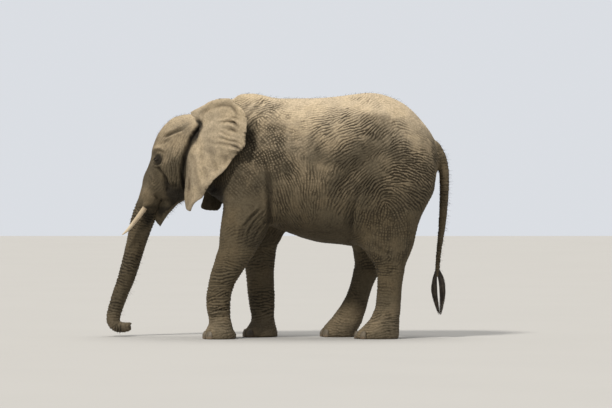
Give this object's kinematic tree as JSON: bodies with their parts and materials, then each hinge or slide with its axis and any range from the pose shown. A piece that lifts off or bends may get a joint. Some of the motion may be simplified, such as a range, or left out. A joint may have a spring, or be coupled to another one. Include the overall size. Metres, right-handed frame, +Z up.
{
  "type": "standing elephant figure",
  "caption": "Life-size still figure of an African elephant standing on its four feet, head low, ears back and trunk hanging to the ground.",
  "frame": {"origin": "middle of the bounding box's base, on the ground between the feet", "axes": "-X the way the body faces, -Y the animal's left side, +Z up"},
  "size_m": [3.442, 1.1252, 2.459],
  "materials": {
    "hide": "dry, deeply wrinkled, dusty",
    "ivory": "satin, stained towards the root",
    "nail": "matte horn, worn",
    "eye": "wet gloss",
    "hair": "wiry, slightly shiny"
  },
  "bodies": {
    "root": {"lower_jaw": "hide", "trunk_upper": "hide", "trunk_middle": "hide", "trunk_lower": "hide", "trunk_tip": "hide", "ear_left": "hide", "ear_right": "hide", "head": "hide", "neck": "hide", "torso": "hide", "foreleg_left_upper": "hide", "foreleg_left_lower": "hide", "foreleg_left_foot": "hide", "foreleg_right_upper": "hide", "foreleg_right_lower": "hide", "foreleg_right_foot": "hide", "hindleg_left_upper": "hide", "hindleg_left_lower": "hide", "hindleg_left_foot": "hide", "hindleg_right_upper": "hide", "hindleg_right_lower": "hide", "hindleg_right_foot": "hide", "tail_upper": "hide", "tail_lower": "hide", "tusk_left": "ivory", "tusk_right": "ivory", "eye_left": "eye", "eye_right": "eye", "foreleg_left_nail_1": "nail", "foreleg_left_nail_2": "nail", "foreleg_left_nail_3": "nail", "foreleg_left_nail_4": "nail", "foreleg_right_nail_1": "nail", "foreleg_right_nail_2": "nail", "foreleg_right_nail_3": "nail", "foreleg_right_nail_4": "nail", "hindleg_left_nail_1": "nail", "hindleg_left_nail_2": "nail", "hindleg_left_nail_3": "nail", "hindleg_right_nail_1": "nail", "hindleg_right_nail_2": "nail", "hindleg_right_nail_3": "nail", "tail_tuft": "hair"}
  },
  "joints": []
}
